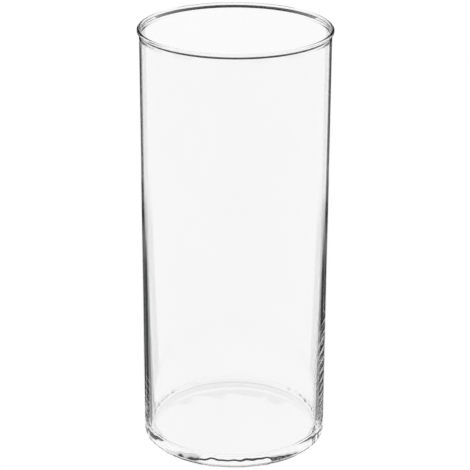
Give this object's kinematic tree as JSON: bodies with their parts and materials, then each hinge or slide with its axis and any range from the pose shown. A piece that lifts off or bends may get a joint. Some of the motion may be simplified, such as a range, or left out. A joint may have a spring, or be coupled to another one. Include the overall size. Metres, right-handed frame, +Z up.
{
  "type": "glass cylinder vase",
  "caption": "Tall straight-sided clear glass vase with a beaded rim, a rounded heel and a thick base that stands on a flat ring.",
  "frame": {"origin": "centre of the standing ring, on the table", "axes": "+Z up along the vase's axis, from the base to the mouth; the vase looks the same from every side"},
  "size_m": [0.1184, 0.1184, 0.268],
  "materials": {
    "clear_glass": "clear, fire-polished"
  },
  "bodies": {
    "root": {"rim_bead": "clear_glass", "side_wall": "clear_glass", "heel_ring": "clear_glass", "floor_disc": "clear_glass"}
  },
  "joints": []
}
